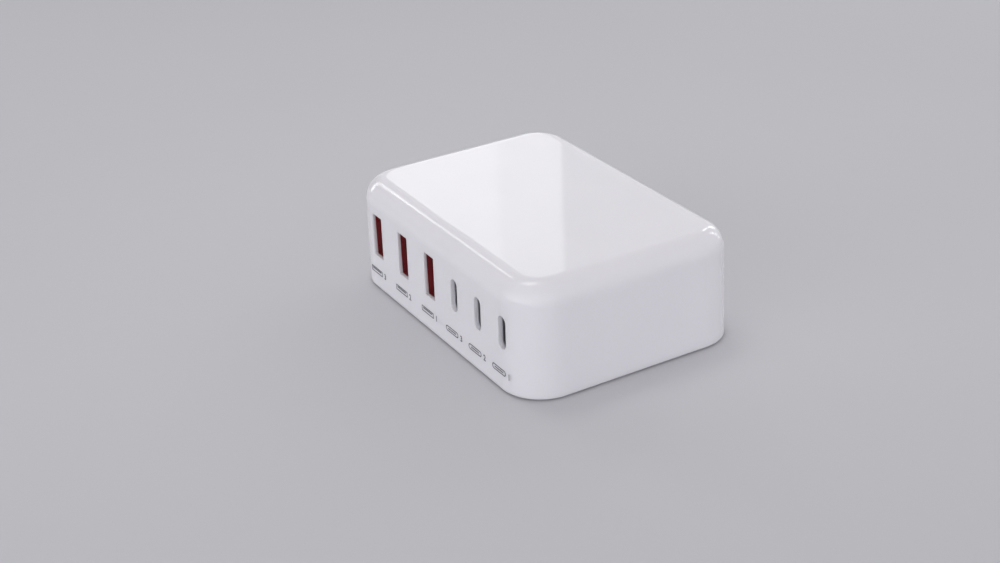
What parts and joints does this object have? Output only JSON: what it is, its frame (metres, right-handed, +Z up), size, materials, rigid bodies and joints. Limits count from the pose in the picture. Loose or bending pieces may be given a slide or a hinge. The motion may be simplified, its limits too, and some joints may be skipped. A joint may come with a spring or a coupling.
{
  "type": "multi port usb desktop charger",
  "caption": "Desktop mains charger in a low rounded white box: a row of USB-A and USB-C sockets on its long front, a figure-of-eight mains inlet behind, and rubber feet below",
  "frame": {"origin": "middle of the bounding box in plan, on the plane that the feet stand on", "axes": "+X to the right seen from the front, +Y from the ports' face to the back, +Z up"},
  "size_m": [0.094, 0.066, 0.0312],
  "materials": {
    "white_shell": "gloss moulding",
    "white_base": "fine spark-eroded texture",
    "steel": "zinc plated",
    "foot_rubber": "satin",
    "red_plastic": "semi gloss",
    "contact_gold": "gold plated",
    "socket_steel": "nickel plated",
    "dark_insert": "satin",
    "board_green": "solder mask",
    "black_plastic": "satin",
    "inlet_plastic": "satin",
    "fuse_brown": "satin",
    "capacitor_box": "satin",
    "ferrite": "sintered",
    "copper": "enamelled copper",
    "capacitor_sleeve": "shrunk sleeve",
    "aluminium": "mill finish",
    "yellow_tape": "film tape",
    "capacitor_blue": "coated",
    "insulation": "film",
    "pad_grey": "silicone pad"
  },
  "bodies": {
    "root": {"housing": "white_shell", "base_cover": "white_base", "cover_screws": "steel", "feet": "foot_rubber", "usb_a_sockets": "red_plastic", "usb_a_contacts": "contact_gold", "usb_c_shells": "socket_steel", "usb_c_inserts": "dark_insert", "usb_c_contacts": "contact_gold", "port_board": "board_green", "port_chips": "black_plastic", "board_header": "black_plastic", "header_pins": "contact_gold", "main_board": "board_green", "inlet_body": "inlet_plastic", "inlet_pins": "socket_steel", "fuse": "fuse_brown", "x_capacitor": "capacitor_box", "choke_core": "ferrite", "choke_base": "black_plastic", "choke_winding_line": "copper", "choke_winding_neutral": "copper", "bridge_rectifier": "black_plastic", "bulk_capacitors": "capacitor_sleeve", "bulk_capacitor_tops": "aluminium", "transformer_core": "ferrite", "transformer_bobbin": "black_plastic", "transformer_winding": "copper", "transformer_tape": "yellow_tape", "y_capacitor": "capacitor_blue", "heat_plate": "aluminium", "power_switches": "black_plastic", "plate_screws": "steel", "output_capacitors": "capacitor_blue", "output_capacitor_tops": "aluminium", "buck_inductors": "ferrite", "control_chips": "black_plastic", "chip_legs": "steel", "lead_wires": "steel", "insulation_sheet": "insulation", "thermal_pad": "pad_grey", "heat_spreader": "aluminium"}
  },
  "joints": []
}
